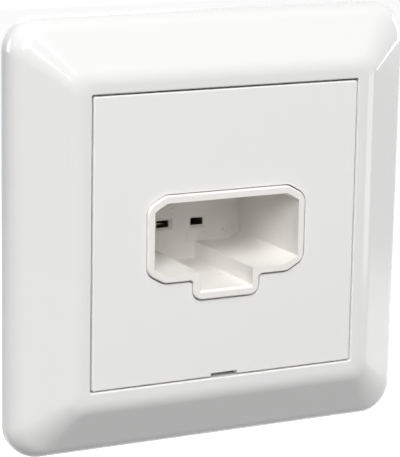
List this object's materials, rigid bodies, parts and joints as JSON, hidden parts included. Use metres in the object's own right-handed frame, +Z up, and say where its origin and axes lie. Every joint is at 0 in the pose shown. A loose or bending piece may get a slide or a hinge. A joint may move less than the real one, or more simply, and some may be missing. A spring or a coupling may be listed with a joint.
{
  "type": "luminaire wall outlet",
  "caption": "Flush wall outlet for a plug-in luminaire: sloped square frame, flat centre plate, recessed keyed socket and a terminal block behind the wall.",
  "frame": {"origin": "centre of the outlet on the wall's surface, between the wall box's screws", "axes": "+Y into the wall, +Z up, +X to the right as seen from the room"},
  "size_m": [0.085, 0.0457, 0.085],
  "materials": {
    "gloss_white": "gloss",
    "satin_white": "satin",
    "socket_white": "satin",
    "zinc_steel": "zinc plated",
    "housing_grey": "satin",
    "contact_brass": "plain",
    "terminal_brass": "plain",
    "screw_steel": "zinc plated"
  },
  "bodies": {
    "root": {"cover_frame": "gloss_white", "centre_plate": "satin_white", "socket_shroud": "socket_white", "mounting_plate": "zinc_steel", "terminal_housing": "housing_grey", "rear_cover": "housing_grey", "contact_neutral": "contact_brass", "terminal_neutral": "terminal_brass", "terminal_screw_neutral": "screw_steel", "contact_earth": "contact_brass", "terminal_earth": "terminal_brass", "terminal_screw_earth": "screw_steel", "contact_live": "contact_brass", "terminal_live": "terminal_brass", "terminal_screw_live": "screw_steel", "flange_screw_1": "screw_steel", "flange_screw_2": "screw_steel", "flange_screw_3": "screw_steel", "flange_screw_4": "screw_steel", "housing_screw_left": "screw_steel", "housing_screw_right": "screw_steel"}
  },
  "joints": []
}
